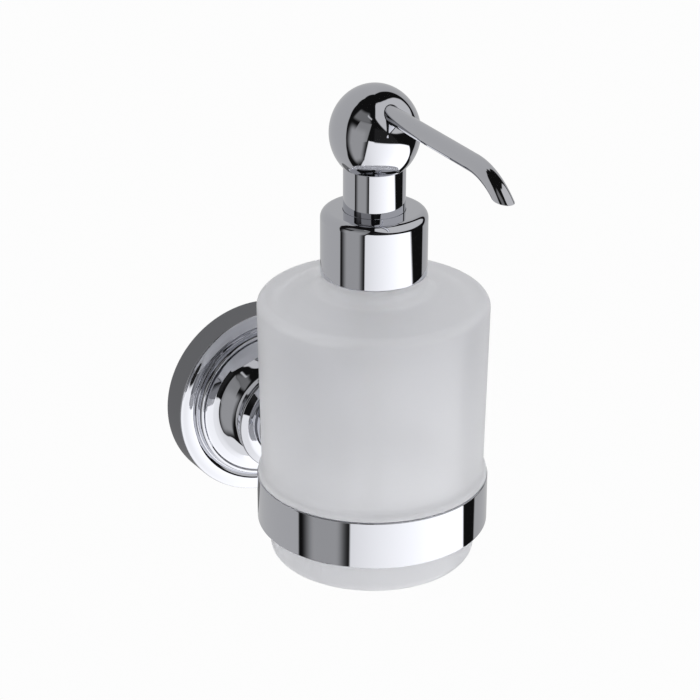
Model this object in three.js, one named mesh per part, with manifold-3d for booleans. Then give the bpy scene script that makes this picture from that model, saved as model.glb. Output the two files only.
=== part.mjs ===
// Wall mounted soap dispenser: a chrome rosette and post hold a ring, and a thick satin glass
// bottle with a chrome push pump stands in the ring.
// Millimetres, +Z up. The origin is the centre of the wall plate's back face: the wall is the
// plane y = 0 and the dispenser stands out from it towards -Y.

import * as THREE from 'three';
import { mergeVertices } from 'three/addons/utils/BufferGeometryUtils.js';
import Module from 'manifold-3d';

const wasm = await Module();
wasm.setup();

// ---------------------------------------------------------------- driving dimensions

const GAP = 0.3;                      // between pieces that touch
const AXIS_OUT = 82.6;                // wall to the bottle's axis

// wall side; heights h are measured out from the wall
const PLATE = { r: 29.6, floor: 3, rimInner: 27, height: 6.8 };
const WALL_SCREW = { spacing: 38, shankR: 2, holeR: 2.4, headR: 4.2, headHeight: 2.7, reach: 18 };
const ROSETTE = {
  backR: 32.4, rimR: 32, rimHeight: 9.6, stepR: 26.2, coveR: 23.4, coveStart: 11.7, neckR: 15.3,
  height: 24, holeR: 6.2,
};
const GRUB = { r: 1.9, holeR: 2.2, h: 4.6, from: 27.4, to: 31.8, socketR: 1.1, socketDepth: 1.8 };
const POST = { flangeR: 18, faceR: 15.1, faceH: 27.1, beadR: 12.9, waistR: 7, endR: 10.2 };
const POST_SCREW = { r: 2.8, boreR: 3.1, headR: 5, headHeight: 3.6, end: 36 };
const WASHER = { r: 9, holeR: 3.2, thickness: 1.4 };

// holder ring; heights z are measured from the post's axis
const RING = { r: 35.5, bore: 32.4, bottom: -8.1, top: 7 };
const RING_SCREW = { r: 2.4, holeR: 2.8, headR: 4.7, length: 7.9 };

// bottle
const GLASS = {
  bottom: -19.2, baseR: 31.5, baseRound: 5, flangeR: 35.3, bodyR: 34.1, bodyStart: 11.5,
  shoulderR: 35.1, shoulderRound: 3, top: 65.3, mouth: 86.8, neckR: 12.6, boreR: 10.6, beadR: 15.6,
};
const THREAD = { pitch: 4.23, turns: 1.5, wireR: 0.85, pathR: 12.65, start: 76.5 };

// pump closure
const COLLAR = { r: 16, bottom: 73.2, top: 93.1, round: 2.6, wall: 0.9, holeR: 9.65 };
const INSERT = { r: 14.6, bore: 13.85, bottom: 73.4, top: 91.5 };
const GASKET = { r: 12.5, bore: 10.7, bottom: 87.1, top: 88.1 };

// pump mechanism
const HOUSING = {
  flangeR: 12.4, flangeBottom: 88.4, flangeTop: 89.8, cupR: 10.3, cupBore: 9.75, cupFloor: 80.2,
  barrelR: 7.2, bore: 6, boreBottom: 45.6, socketR: 3.9, socketBore: 2.7, bottom: 30,
};
const GUIDE = { flangeR: 8.6, plugR: 5.65, bottom: 75, seat: 80.5, top: 82 };
const DIP_TUBE = { r: 2.3, bore: 1.5, bottom: -10.8, top: 37.9 };
const VALVE_BALL = { r: 1.55, z: 41.2 };
const SPRING = { coilR: 4.6, wireR: 0.4, bottom: 46.2, top: 61.6, turns: 5 };
const PISTON = { r: 5.7, waistR: 4.6, bore: 2.9, bottom: 63.3, top: 69 };
const STEM = { r: 2.6, bore: 1.5, flangeR: 4.4, bottom: 61.9, top: 102 };

// pump head
const SLEEVE = { r: 9.25, bore: 8.3, bottom: 92.6, top: 106.4, lid: 1.2, lidBore: 3.4, chamfer: 0.4 };
const BALL = { r: 13.45, halfHeight: 14.45, z: 116.7, bore: 3.4, boreTop: 123 };
const HEAD_INSERT = { r: 8, bottom: 97, top: 104.8, nozzleR: 3, nozzleTop: 117, passage: 1.5 };
const SPOUT = {
  r: 2.6, bore: 1.8, z: 124.95, start: 3, straightEnd: 55.5, bendR: 25, bendAngle: 41,
  tail: 4, tipZ: 119.1, boreR: 2.9,
};

// ---------------------------------------------------------------- materials

const FINISHES = {
  chrome: { color: 0xd5d7da, roughness: 0.06, metalness: 1 },
  steel: { color: 0xa9abad, roughness: 0.35, metalness: 1 },
  satinGlass: { color: 0xe4e6e8, roughness: 0.55, metalness: 0 },
  whitePlastic: { color: 0xe9e9e6, roughness: 0.4, metalness: 0 },
  clearPlastic: { color: 0xdfe3e3, roughness: 0.3, metalness: 0 },
  rubber: { color: 0x2a2a2a, roughness: 0.8, metalness: 0 },
};

function piece(name, geometry, finish) {
  const mesh = new THREE.Mesh(geometry, new THREE.MeshStandardMaterial(FINISHES[finish]));
  mesh.name = name;
  return mesh;
}

// ---------------------------------------------------------------- shape helpers

// Points of an arc about (cx, cz), from angle a0 to a1 in degrees, in n equal steps.
function arc(cx, cz, r, a0, a1, n) {
  const points = [];
  for (let i = 0; i <= n; i++) {
    const a = THREE.MathUtils.degToRad(a0 + ((a1 - a0) * i) / n);
    points.push([cx + r * Math.cos(a), cz + r * Math.sin(a)]);
  }
  return points;
}

// A solid turned about +Z. The profile is a list of [radius, z] that runs anticlockwise; it
// closes on itself, or starts and ends on the axis.
function turned(profile, segments) {
  const points = profile.map(([r, z]) => new THREE.Vector2(r, z));
  const last = profile[profile.length - 1];
  if (profile[0][0] > 0 || last[0] > 0) points.push(points[0].clone());
  return new THREE.LatheGeometry(points, segments).rotateX(Math.PI / 2);
}

// A tube wall or a disc with a hole, from z0 to z1.
function sleeve(inner, outer, z0, z1, segments) {
  return turned([[inner, z0], [outer, z0], [outer, z1], [inner, z1]], segments);
}

// A round bar along +Z, from z0 to z1.
function bar(r, z0, z1, segments) {
  return turned([[0, z0], [r, z0], [r, z1], [0, z1]], segments);
}

function box(width, depth, height, x, y, z) {
  return new THREE.BoxGeometry(width, depth, height).translate(x, y, z);
}

function toSolid(geometry) {
  const bare = geometry.clone();
  bare.deleteAttribute('normal');
  bare.deleteAttribute('uv');
  const merged = mergeVertices(bare, 1e-4);
  return new wasm.Manifold(new wasm.Mesh({
    numProp: 3,
    vertProperties: Float32Array.from(merged.attributes.position.array),
    triVerts: Uint32Array.from(merged.index.array),
  }));
}

function toGeometry(solid) {
  const mesh = solid.getMesh();
  const geometry = new THREE.BufferGeometry();
  geometry.setAttribute('position', new THREE.BufferAttribute(Float32Array.from(mesh.vertProperties), 3));
  geometry.setIndex(new THREE.BufferAttribute(Uint32Array.from(mesh.triVerts), 1));
  geometry.computeVertexNormals();
  return geometry;
}

function cut(geometry, ...tools) {
  const start = toSolid(geometry);
  return toGeometry(tools.reduce((solid, tool) => solid.subtract(toSolid(tool)), start));
}

function joined(geometry, ...others) {
  const start = toSolid(geometry);
  return toGeometry(others.reduce((solid, other) => solid.add(toSolid(other)), start));
}

// A circle of the given radius as a shape to extrude, with an optional round hole.
function roundShape(r, sides, holeR = 0) {
  const ring = (radius) => {
    const points = [];
    for (let i = 0; i < sides; i++) {
      const a = (2 * Math.PI * i) / sides;
      points.push(new THREE.Vector2(radius * Math.cos(a), radius * Math.sin(a)));
    }
    return points;
  };
  const shape = new THREE.Shape(ring(r));
  if (holeR > 0) shape.holes.push(new THREE.Path(ring(holeR)));
  return shape;
}

class Helix extends THREE.Curve {
  constructor(radius, z0, z1, turns) {
    super();
    Object.assign(this, { radius, z0, z1, turns });
  }

  getPoint(t, target = new THREE.Vector3()) {
    const a = 2 * Math.PI * this.turns * t;
    const z = this.z0 + (this.z1 - this.z0) * t;
    return target.set(this.radius * Math.cos(a), this.radius * Math.sin(a), z);
  }
}

// The spout's centre line: straight out from the ball, then bent down in one round bend.
class SpoutLine extends THREE.Curve {
  getPoint(t, target = new THREE.Vector3()) {
    const bend = THREE.MathUtils.degToRad(SPOUT.bendAngle);
    const straight = SPOUT.straightEnd - SPOUT.start;
    const length = straight + SPOUT.bendR * bend + SPOUT.tail;
    const s = t * length;
    const inBend = THREE.MathUtils.clamp(s - straight, 0, SPOUT.bendR * bend);
    const inTail = Math.max(0, s - straight - SPOUT.bendR * bend);
    const a = inBend / SPOUT.bendR;
    const out = SPOUT.start + Math.min(s, straight) + SPOUT.bendR * Math.sin(a) + inTail * Math.cos(bend);
    const drop = SPOUT.bendR * (1 - Math.cos(a)) + inTail * Math.sin(bend);
    return target.set(0, -out, SPOUT.z - drop);
  }
}

function alongPath(shape, path, steps) {
  return new THREE.ExtrudeGeometry(shape, { steps, extrudePath: path, bevelEnabled: false });
}

// A cutter for a driver's recess: a hexagon bar or a cross, sunk from z down by depth.
function hexSocket(r, z, depth) {
  return new THREE.CylinderGeometry(r, r, depth + 1, 6).rotateX(Math.PI / 2)
    .translate(0, 0, z - (depth - 1) / 2);
}

function crossSlots(width, length, z, depth) {
  const arms = [[width, length], [length, width]];
  return arms.map(([x, y]) => box(x, y, depth + 1, 0, 0, z - (depth - 1) / 2));
}

// ---------------------------------------------------------------- wall side
// These pieces are turned about the post's axis, drawn with +Z out from the wall.

function wallPlate() {
  const { r, floor, rimInner, height } = PLATE;
  const disc = turned([
    [0, 0], [r - 0.4, 0], [r, 0.4], [r, height - 0.4], [r - 0.4, height],
    [rimInner + 0.4, height], [rimInner, height - 0.4], [rimInner, floor], [0, floor],
  ], 32);
  const screwHoles = [-1, 1].map((side) => bar(WALL_SCREW.holeR, -1, floor + 1, 16)
    .translate(0, (side * WALL_SCREW.spacing) / 2, 0));
  return cut(disc, ...screwHoles, grubHole());
}

function grubHole() {
  return bar(GRUB.holeR, GRUB.from - 3, GRUB.to + 3, 16).rotateX(Math.PI / 2).translate(0, 0, GRUB.h);
}

function wallScrew() {
  const { shankR, headR, headHeight, reach } = WALL_SCREW;
  const seat = PLATE.floor + GAP;
  const top = seat + headHeight;
  const body = turned([
    [0, -reach], [shankR, 4 - reach], [shankR, seat], [headR, seat], [headR, seat + 1.2],
    [headR - 1, top - 0.3], [0, top],
  ], 16);
  return cut(body, ...crossSlots(0.9, 4.4, top, 1.4));
}

// The rosette: a rounded rim, a step, and a hollow cove up to the neck under the post.
function rosette() {
  const { backR, rimR, rimHeight, stepR, coveR, coveStart, neckR, height, holeR } = ROSETTE;
  const wall = 1.7;
  const outside = [
    [backR, 0], [rimR, rimHeight - 0.8], [rimR - 0.7, rimHeight + 0.1], [29, rimHeight + 0.8],
    [stepR, rimHeight + 0.3], [stepR - 0.6, rimHeight + 2], [coveR + 1.2, coveStart + 0.3],
    [coveR, coveStart], [21.5, 12.2], [19.8, 13.2], [18.3, 14.6], [16.9, 16.2], [15.9, 18],
    [neckR, 20], [neckR, height],
  ];
  const inside = [
    [holeR, height], [holeR, height - 1.6], [neckR - 1.7, height - 1.9], [neckR - 1.5, 19],
    [14.4, 17.2], [15.6, 15.1], [17.2, 13.2], [19, 11.7], [21, 10.6], [coveR - 0.3, coveStart - 1.7],
    [24.6, rimHeight - 1.4], [backR - wall, rimHeight - wall], [backR - wall, 0],
  ];
  return cut(turned([...outside, ...inside], 32), grubHole());
}

function grubScrew() {
  const length = GRUB.to - GRUB.from;
  const body = turned([
    [0, 0], [GRUB.r - 0.5, 0], [GRUB.r, 0.5], [GRUB.r, length - 0.3], [GRUB.r - 0.3, length], [0, length],
  ], 12);
  return cut(body, hexSocket(GRUB.socketR, length, GRUB.socketDepth))
    .translate(0, 0, GRUB.from).rotateX(Math.PI / 2).translate(0, 0, GRUB.h);
}

// The post: a spigot through the rosette, a flange and a bead, a waisted arm, and an end that is
// hollowed to sit against the ring. A blind screw hole runs in from each end.
function post() {
  const { flangeR, faceR, faceH, beadR, waistR, endR } = POST;
  const seat = ROSETTE.height + GAP;
  const spigotR = ROSETTE.holeR - 0.4;
  const ringHole = AXIS_OUT - RING.r - RING_SCREW.length + 2;
  const body = turned([
    [0, POST_SCREW.end + 1.5], [POST_SCREW.boreR, POST_SCREW.end + 1.5], [POST_SCREW.boreR, seat - 2.2],
    [spigotR, seat - 2.2], [spigotR, seat], [flangeR - 0.6, seat],
    [flangeR, seat + 0.5], [flangeR - 0.4, seat + 1.3], [faceR + 0.6, faceH - 0.2], [faceR, faceH],
    [beadR - 0.6, faceH], [beadR - 0.6, faceH + 0.9], [beadR, faceH + 1.4], [beadR, faceH + 2.6],
    [beadR - 0.7, faceH + 3.3], [9.8, faceH + 3.7], [8.2, faceH + 6], [waistR, 38], [waistR + 0.4, 42],
    [8.8, 45], [endR, 46.8], [endR, 50], [RING_SCREW.holeR, 50], [RING_SCREW.holeR, ringHole], [0, ringHole],
  ], 24);
  const ringShape = new THREE.CylinderGeometry(RING.r + GAP, RING.r + GAP, 40, 96).translate(0, 0, AXIS_OUT);
  return cut(body, ringShape);
}

function postWasher() {
  const top = ROSETTE.height - 1.6 - GAP;
  return sleeve(WASHER.holeR, WASHER.r, top - WASHER.thickness, top, 20);
}

function postScrew() {
  const { r, headR, headHeight, end } = POST_SCREW;
  const seat = ROSETTE.height - 1.6 - 2 * GAP - WASHER.thickness;
  const body = turned([
    [0, seat - headHeight], [headR - 0.5, seat - headHeight], [headR, seat - headHeight + 0.5], [headR, seat],
    [r, seat], [r, end - 0.8], [r - 0.8, end], [0, end],
  ], 16);
  const socket = hexSocket(2.3, 0, 2.4).rotateX(Math.PI).translate(0, 0, seat - headHeight);
  return cut(body, socket);
}

// ---------------------------------------------------------------- ring
// Turned about the bottle's axis; the screw lies along the post's axis.

function holderRing() {
  const { r, bore, bottom, top } = RING;
  const band = turned([
    [bore, bottom], [r - 0.4, bottom], [r, bottom + 0.4], [r, top - 0.4], [r - 0.4, top], [bore, top],
  ], 48);
  const sinkR = RING_SCREW.headR + 1.05;
  const hole = turned([
    [0, bore - 2], [sinkR, bore - 2], [sinkR, bore], [RING_SCREW.holeR, bore + sinkR - RING_SCREW.holeR],
    [RING_SCREW.holeR, r + 2], [0, r + 2],
  ], 16).rotateX(-Math.PI / 2);
  return cut(band, hole);
}

function ringScrew() {
  const { r, headR, length } = RING_SCREW;
  const face = AXIS_OUT - RING.bore - 0.5;
  const root = face - (headR - r);
  const end = AXIS_OUT - RING.r - length + 3;
  const body = turned([
    [0, end], [r - 0.6, end], [r, end + 0.6], [r, root], [headR, face - 0.1], [headR, face], [0, face],
  ], 16);
  return cut(body, hexSocket(1.5, face, 1.6));
}

// ---------------------------------------------------------------- bottle

// The bottle: a flange above its base rests on the ring, and the thick shoulder carries the neck.
function glassBottle() {
  const { bottom, baseR, baseRound, flangeR, bodyR, bodyStart, shoulderR, shoulderRound, top } = GLASS;
  const { mouth, neckR, boreR, beadR } = GLASS;
  const beadTop = COLLAR.bottom - GAP;
  const seat = RING.top + GAP;
  const outside = [
    [0, bottom + 1.1], [22, bottom + 1.1], [25, bottom + 0.3],
    ...arc(baseR - baseRound, bottom + baseRound, baseRound, -90, 0, 3),
    [baseR, seat - 0.4], [baseR + 0.4, seat], [flangeR - 0.3, seat], [flangeR, seat + 0.3],
    [flangeR - 0.25, seat + 1], [bodyR + 0.3, seat + 2.3], [bodyR, bodyStart],
    ...arc(shoulderR - shoulderRound, top - shoulderRound, shoulderRound, 0, 84, 3),
    [20, top + 2.1], [17.6, top + 3.4], [16.2, top + 4.8], [beadR, top + 6.2], [beadR, beadTop - 0.3],
    [beadR - 0.3, beadTop], [neckR, beadTop], [neckR, mouth - 0.5], [neckR - 0.5, mouth],
  ];
  const inside = [
    [boreR, mouth], [boreR, 71], [12.4, 67.4], [17, 64.4], [27, top - 3.6],
    [30.2, top - 5], [31.2, top - 8.4], [30.3, 2], [29, -5], [26, -9.8], [21.5, -12], [0, -12],
  ];
  const body = turned([...outside, ...inside], 36);
  const end = THREAD.start + THREAD.pitch * THREAD.turns;
  const path = new Helix(THREAD.pathR, THREAD.start, end, THREAD.turns);
  return joined(body, alongPath(roundShape(THREAD.wireR, 5), path, 20));
}

// ---------------------------------------------------------------- pump closure

function collar() {
  const { r, bottom, top, round, wall, holeR } = COLLAR;
  return turned([
    [r - wall, bottom], [r - 0.2, bottom], [r, bottom + 0.2], ...arc(r - round, top - round, round, 0, 90, 3),
    [holeR, top], [holeR, top - 1.3], [r - 2.3, top - 1.3], [r - wall, top - 2.7],
  ], 32);
}

function collarInsert() {
  const { r, bore, bottom, top } = INSERT;
  return turned([
    [bore, bottom], [r, bottom], [r, top - 1.6], [r - 1.3, top],
    [COLLAR.holeR + 0.15, top], [COLLAR.holeR + 0.15, top - 1.4], [bore, top - 1.4],
  ], 28);
}

// ---------------------------------------------------------------- pump mechanism

// The housing: a flange clamped over the bottle's mouth, a cup that takes the head's sleeve when
// it is pushed down, the pump barrel, the ball valve's seat and the socket of the dip tube.
function pumpHousing() {
  const { flangeR, flangeBottom, flangeTop, cupR, cupBore, cupFloor, barrelR, bore, boreBottom } = HOUSING;
  const { socketR, socketBore, bottom } = HOUSING;
  const socketTop = DIP_TUBE.top + 0.5;
  return turned([
    [socketBore, bottom], [socketR, bottom], [socketR, socketTop], [barrelR, 43], [barrelR, cupFloor - 1],
    [cupR - 0.8, cupFloor - 1], [cupR, cupFloor], [cupR, flangeBottom], [flangeR, flangeBottom],
    [flangeR, flangeTop], [cupBore, flangeTop], [cupBore, cupFloor + 0.6], [cupBore - 0.6, cupFloor],
    [bore, cupFloor], [bore, boreBottom], [2.1, 43.6], [2.1, 40.9], [1, 39.6], [1, socketTop],
    [socketBore, socketTop],
  ], 20);
}

function stemGuide() {
  const { flangeR, plugR, bottom, seat, top } = GUIDE;
  const bore = STEM.r + 0.35;
  return turned([
    [bore, bottom], [plugR, bottom], [plugR, seat], [flangeR, seat], [flangeR, top - 0.4],
    [flangeR - 0.4, top], [bore, top],
  ], 20);
}

function dipTube() {
  return sleeve(DIP_TUBE.bore, DIP_TUBE.r, DIP_TUBE.bottom, DIP_TUBE.top, 12);
}

function inletBall() {
  return turned(arc(0, VALVE_BALL.z, VALVE_BALL.r, -90, 90, 6), 10);
}

function pumpSpring() {
  const { coilR, wireR, bottom, top, turns } = SPRING;
  return alongPath(roundShape(wireR, 5), new Helix(coilR, bottom + wireR, top - wireR, turns), turns * 9);
}

function piston() {
  const { r, waistR, bore, bottom, top } = PISTON;
  return turned([
    [bore, bottom], [r - 0.5, bottom], [r, bottom + 0.6], [r, bottom + 1.6], [waistR, bottom + 2.3],
    [waistR, top - 2.3], [r, top - 1.6], [r, top - 0.5], [r - 0.5, top], [bore, top],
  ], 20);
}

function pistonStem() {
  const { r, bore, flangeR, bottom, top } = STEM;
  return turned([
    [bore, bottom], [flangeR, bottom], [flangeR, bottom + 1.1], [r, bottom + 1.1], [r, top], [bore, top],
  ], 16);
}

// ---------------------------------------------------------------- pump head

function neckSleeve() {
  const { r, bore, bottom, top, lid, lidBore, chamfer } = SLEEVE;
  return turned([
    [bore, bottom], [r - chamfer, bottom], [r, bottom + chamfer], [r, top - chamfer], [r - chamfer, top],
    [lidBore, top], [lidBore, top - lid], [bore, top - lid],
  ], 28);
}

// The ball is a little taller than it is wide.
function ballHead() {
  const { r, halfHeight, z, bore, boreTop } = BALL;
  const flat = SLEEVE.top + GAP;
  const start = -THREE.MathUtils.radToDeg(Math.asin((z - flat) / halfHeight));
  const outside = arc(0, 0, 1, start, 90, 10).map(([x, y]) => [r * x, z + halfHeight * y]);
  const ball = turned([[0, boreTop], [bore, boreTop], [bore, flat], ...outside], 28);
  const spoutBore = bar(SPOUT.boreR, -1.5, r + 3, 16).rotateX(Math.PI / 2).translate(0, 0, SPOUT.z);
  return cut(ball, spoutBore);
}

function headInsert() {
  const { r, bottom, top, nozzleR, nozzleTop, passage } = HEAD_INSERT;
  const stemBore = STEM.r + 0.3;
  return turned([
    [stemBore, bottom], [r, bottom], [r, top], [nozzleR, top], [nozzleR, nozzleTop], [passage, nozzleTop],
    [passage, STEM.top + 0.5], [stemBore, STEM.top + 0.5],
  ], 16);
}

// The spout's mouth is cut level.
function spoutTube() {
  const tube = alongPath(roundShape(SPOUT.r, 10, SPOUT.bore), new SpoutLine(), 20);
  const reach = SPOUT.straightEnd + SPOUT.bendR;
  return cut(tube, box(20, 40, 20, 0, -reach, SPOUT.tipZ - 10));
}

// ---------------------------------------------------------------- assembly

const dispenser = new THREE.Group();

const wallSide = new THREE.Group();
wallSide.rotation.x = Math.PI / 2;
wallSide.add(
  piece('wall_plate', wallPlate(), 'steel'),
  piece('rosette', rosette(), 'chrome'),
  piece('rosette_grub_screw', grubScrew(), 'steel'),
  piece('post', post(), 'chrome'),
  piece('post_washer', postWasher(), 'steel'),
  piece('post_screw', postScrew(), 'steel'),
  piece('ring_screw', ringScrew(), 'steel'),
);
for (const [name, side] of [['wall_screw_upper', 1], ['wall_screw_lower', -1]]) {
  const screw = piece(name, wallScrew(), 'steel');
  screw.position.y = (side * WALL_SCREW.spacing) / 2;
  wallSide.add(screw);
}
dispenser.add(wallSide);

const bottleSide = new THREE.Group();
bottleSide.position.y = -AXIS_OUT;
bottleSide.add(
  piece('holder_ring', holderRing(), 'chrome'),
  piece('glass_bottle', glassBottle(), 'satinGlass'),
  piece('collar', collar(), 'chrome'),
  piece('collar_insert', collarInsert(), 'whitePlastic'),
  piece('neck_gasket', sleeve(GASKET.bore, GASKET.r, GASKET.bottom, GASKET.top, 20), 'rubber'),
  piece('pump_housing', pumpHousing(), 'whitePlastic'),
  piece('stem_guide', stemGuide(), 'whitePlastic'),
  piece('dip_tube', dipTube(), 'clearPlastic'),
  piece('inlet_ball', inletBall(), 'steel'),
  piece('pump_spring', pumpSpring(), 'steel'),
  piece('piston', piston(), 'whitePlastic'),
  piece('piston_stem', pistonStem(), 'whitePlastic'),
  piece('neck_sleeve', neckSleeve(), 'chrome'),
  piece('ball_head', ballHead(), 'chrome'),
  piece('head_insert', headInsert(), 'whitePlastic'),
  piece('spout_tube', spoutTube(), 'chrome'),
);
dispenser.add(bottleSide);

export default dispenser;
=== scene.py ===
"""Wall mounted soap dispenser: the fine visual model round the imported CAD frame.

The frame holds metres. Outlines are written in millimetres, as (radius, height) points of turned
pieces with a fillet's radius as an optional third value, and are scaled by MM when a mesh is made.
"""

import math

import bmesh
import bpy
import numpy as np
from mathutils import Matrix, Vector


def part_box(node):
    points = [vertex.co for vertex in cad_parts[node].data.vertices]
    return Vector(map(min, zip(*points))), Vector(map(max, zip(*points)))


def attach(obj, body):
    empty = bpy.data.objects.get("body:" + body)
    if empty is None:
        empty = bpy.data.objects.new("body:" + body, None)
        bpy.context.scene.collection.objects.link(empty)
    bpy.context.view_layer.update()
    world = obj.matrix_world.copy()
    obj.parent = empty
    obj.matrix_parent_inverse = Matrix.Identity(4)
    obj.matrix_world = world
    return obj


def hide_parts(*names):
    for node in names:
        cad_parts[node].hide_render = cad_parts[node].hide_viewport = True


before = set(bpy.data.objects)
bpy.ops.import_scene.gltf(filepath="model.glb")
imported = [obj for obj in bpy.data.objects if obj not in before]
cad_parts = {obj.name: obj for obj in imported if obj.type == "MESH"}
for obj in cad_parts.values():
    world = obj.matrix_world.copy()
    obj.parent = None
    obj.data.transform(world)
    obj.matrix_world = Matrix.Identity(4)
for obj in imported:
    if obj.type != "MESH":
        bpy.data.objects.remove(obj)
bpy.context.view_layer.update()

# ---------------------------------------------------------------- places and sizes

MM = 0.001
SIDES = 160                # round a visible turned piece
HIDDEN_SIDES = 72          # round a small or hidden one
FILLET_STEPS = 7
SHARP = math.radians(26)   # an outline turns smoothly below this angle

RING_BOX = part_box("holder_ring")
RING_R = RING_BOX[1].x / MM
RING_BORE = 32.4
RING_SCREW_LENGTH = 7.9
AXIS_Y = (RING_BOX[0].y + RING_BOX[1].y) / 2
AXIS_OUT = -AXIS_Y / MM    # wall to the bottle's axis
SCREW_SPACING = 38         # between the wall screws
GRUB_OUT = 4.6             # wall to the grub screw's axis

# Places in which a piece is turned about its local Z.
ON_WALL = Matrix.Rotation(math.radians(90), 4, "X")          # local +Z stands out from the wall
ON_AXIS = Matrix.Translation((0, AXIS_Y, 0))
ON_GRUB = ON_WALL @ Matrix.Translation((0, 0, GRUB_OUT * MM)) @ Matrix.Rotation(math.radians(90), 4, "X")

# ---------------------------------------------------------------- outlines


def arc(cx, cz, r, start, end, steps):
    """Points of an arc about (cx, cz), from start to end in degrees."""
    turn = [math.radians(start + (end - start) * i / steps) for i in range(steps + 1)]
    return [(cx + r * math.cos(a), cz + r * math.sin(a)) for a in turn]


def smooth(points, steps=6):
    """A smooth curve through the points (Catmull-Rom)."""
    p = [np.array(q, float) for q in points]
    p = [2 * p[0] - p[1], *p, 2 * p[-1] - p[-2]]
    out = []
    for a, b, c, d in zip(p, p[1:], p[2:], p[3:]):
        for i in range(steps):
            t = i / steps
            out.append(0.5 * (2 * b + (c - a) * t + (2 * a - 5 * b + 4 * c - d) * t * t
                              + (3 * b - a - 3 * c + d) * t ** 3))
    return [tuple(q) for q in [*out, p[-2]]]


def rounded(points):
    """The outline with a fillet at each point that has a third value, its radius."""
    out = []
    for i, q in enumerate(points):
        here = Vector(q[:2])
        if len(q) < 3:
            out.append((here.x, here.y))
            continue
        to_last = Vector(points[i - 1][:2]) - here
        to_next = Vector(points[(i + 1) % len(points)][:2]) - here
        half = to_last.angle(to_next) / 2
        reach = min(q[2] / math.tan(half), 0.49 * to_last.length, 0.49 * to_next.length)
        radius = reach * math.tan(half)
        centre = here + (to_last.normalized() + to_next.normalized()).normalized() * radius / math.sin(half)
        a = here + to_last.normalized() * reach - centre
        b = here + to_next.normalized() * reach - centre
        sweep = a.angle_signed(b)
        for k in range(FILLET_STEPS + 1):
            p = centre + a.copy() @ Matrix.Rotation(sweep * k / FILLET_STEPS, 2)
            out.append((p.x, p.y))
    return out


def outline_normals(points, closed):
    """For each stretch of the outline, its outward normal at both ends."""
    p = np.array(points, float)
    q = np.roll(p, -1, axis=0) if closed else p[1:]
    p = p if closed else p[:-1]
    step = q - p
    length = np.linalg.norm(step, axis=1, keepdims=True)
    flat = np.stack([step[:, 1], -step[:, 0]], axis=1) / length
    heavy = flat * length
    before = np.roll(heavy, 1, axis=0)
    after = np.roll(heavy, -1, axis=0)
    turn_before = np.einsum("ij,ij->i", flat, np.roll(flat, 1, axis=0))
    turn_after = np.einsum("ij,ij->i", flat, np.roll(flat, -1, axis=0))
    if not closed:
        turn_before[0] = turn_after[-1] = -1
    start = np.where((turn_before > math.cos(SHARP))[:, None], heavy + before, flat)
    end = np.where((turn_after > math.cos(SHARP))[:, None], heavy + after, flat)
    start /= np.linalg.norm(start, axis=1, keepdims=True)
    end /= np.linalg.norm(end, axis=1, keepdims=True)
    return p, q, start, end


def arc_oval(r, half_height, z, start, steps):
    """Points up the side of an oval, from start degrees to its top."""
    return [(r * x, z + half_height * y) for x, y in arc(0, 0, 1, start, 90, steps)]


class Turned:
    """A surface turned about a line: the outline runs anticlockwise, up the outside."""

    def __init__(self, points, place, inward=False):
        points = [(max(r, 0.0) * MM, z * MM) for r, z in points]
        self.closed = points[0][0] > 0 or points[-1][0] > 0
        self.points = points
        self.place = place
        self.sign = -1 if inward else 1
        self.p, self.q, self.start, self.end = outline_normals(points, self.closed)

    def local(self, co):
        back = np.array(self.place.inverted())
        return co @ back[:3, :3].T + back[:3, 3]

    def stretch(self, centres):
        """The nearest stretch of the outline to each point, and the distance to it."""
        xyz = self.local(centres)
        rz = np.stack([np.hypot(xyz[:, 0], xyz[:, 1]), xyz[:, 2]], axis=1)
        d = self.q - self.p
        t = np.einsum("ijk,jk->ij", rz[:, None] - self.p[None], d) / (d * d).sum(axis=1)
        near = self.p[None] + np.clip(t, 0, 1)[..., None] * d[None]
        distance = np.linalg.norm(rz[:, None] - near, axis=2)
        best = distance.argmin(axis=1)
        return best, distance[np.arange(len(best)), best]

    def normals(self, co, stretch, azimuth_from):
        xyz = self.local(co)
        r = np.hypot(xyz[:, 0], xyz[:, 1])
        side = np.where((r > 1e-6)[:, None], xyz[:, :2], self.local(azimuth_from)[:, :2])
        side /= np.maximum(np.linalg.norm(side, axis=1, keepdims=True), 1e-9)
        p, q = self.p[stretch], self.q[stretch]
        d = q - p
        rz = np.stack([r, xyz[:, 2]], axis=1)
        t = np.clip(((rz - p) * d).sum(axis=1) / (d * d).sum(axis=1), 0, 1)[:, None]
        n = self.start[stretch] * (1 - t) + self.end[stretch] * t
        n /= np.linalg.norm(n, axis=1, keepdims=True)
        local = np.concatenate([side * n[:, :1], n[:, 1:]], axis=1) * self.sign
        return local @ np.array(self.place)[:3, :3].T


# ---------------------------------------------------------------- meshes


def new_object(name, mesh, place=Matrix.Identity(4)):
    obj = bpy.data.objects.new(name, mesh)
    obj.matrix_world = place
    bpy.context.scene.collection.objects.link(obj)
    bpy.context.view_layer.update()
    return obj


def grid_mesh(name, rings, closed):
    """A closed mesh from rings of points; a ring of one point is a pole."""
    verts = [tuple(v) for ring in rings for v in ring]
    starts = np.cumsum([0] + [len(ring) for ring in rings])
    faces = []
    pairs = list(zip(range(len(rings)), range(1, len(rings))))
    if closed:
        pairs.append((len(rings) - 1, 0))
    for a, b in pairs:
        n = max(len(rings[a]), len(rings[b]))
        for i in range(n):
            j = (i + 1) % n
            low = [starts[a] + i, starts[a] + j] if len(rings[a]) > 1 else [starts[a]]
            high = [starts[b] + j, starts[b] + i] if len(rings[b]) > 1 else [starts[b]]
            faces.append([int(v) for v in (*low, *high)])
    mesh = bpy.data.meshes.new(name)
    mesh.from_pydata(verts, [], faces)
    mesh.update()
    return mesh


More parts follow.
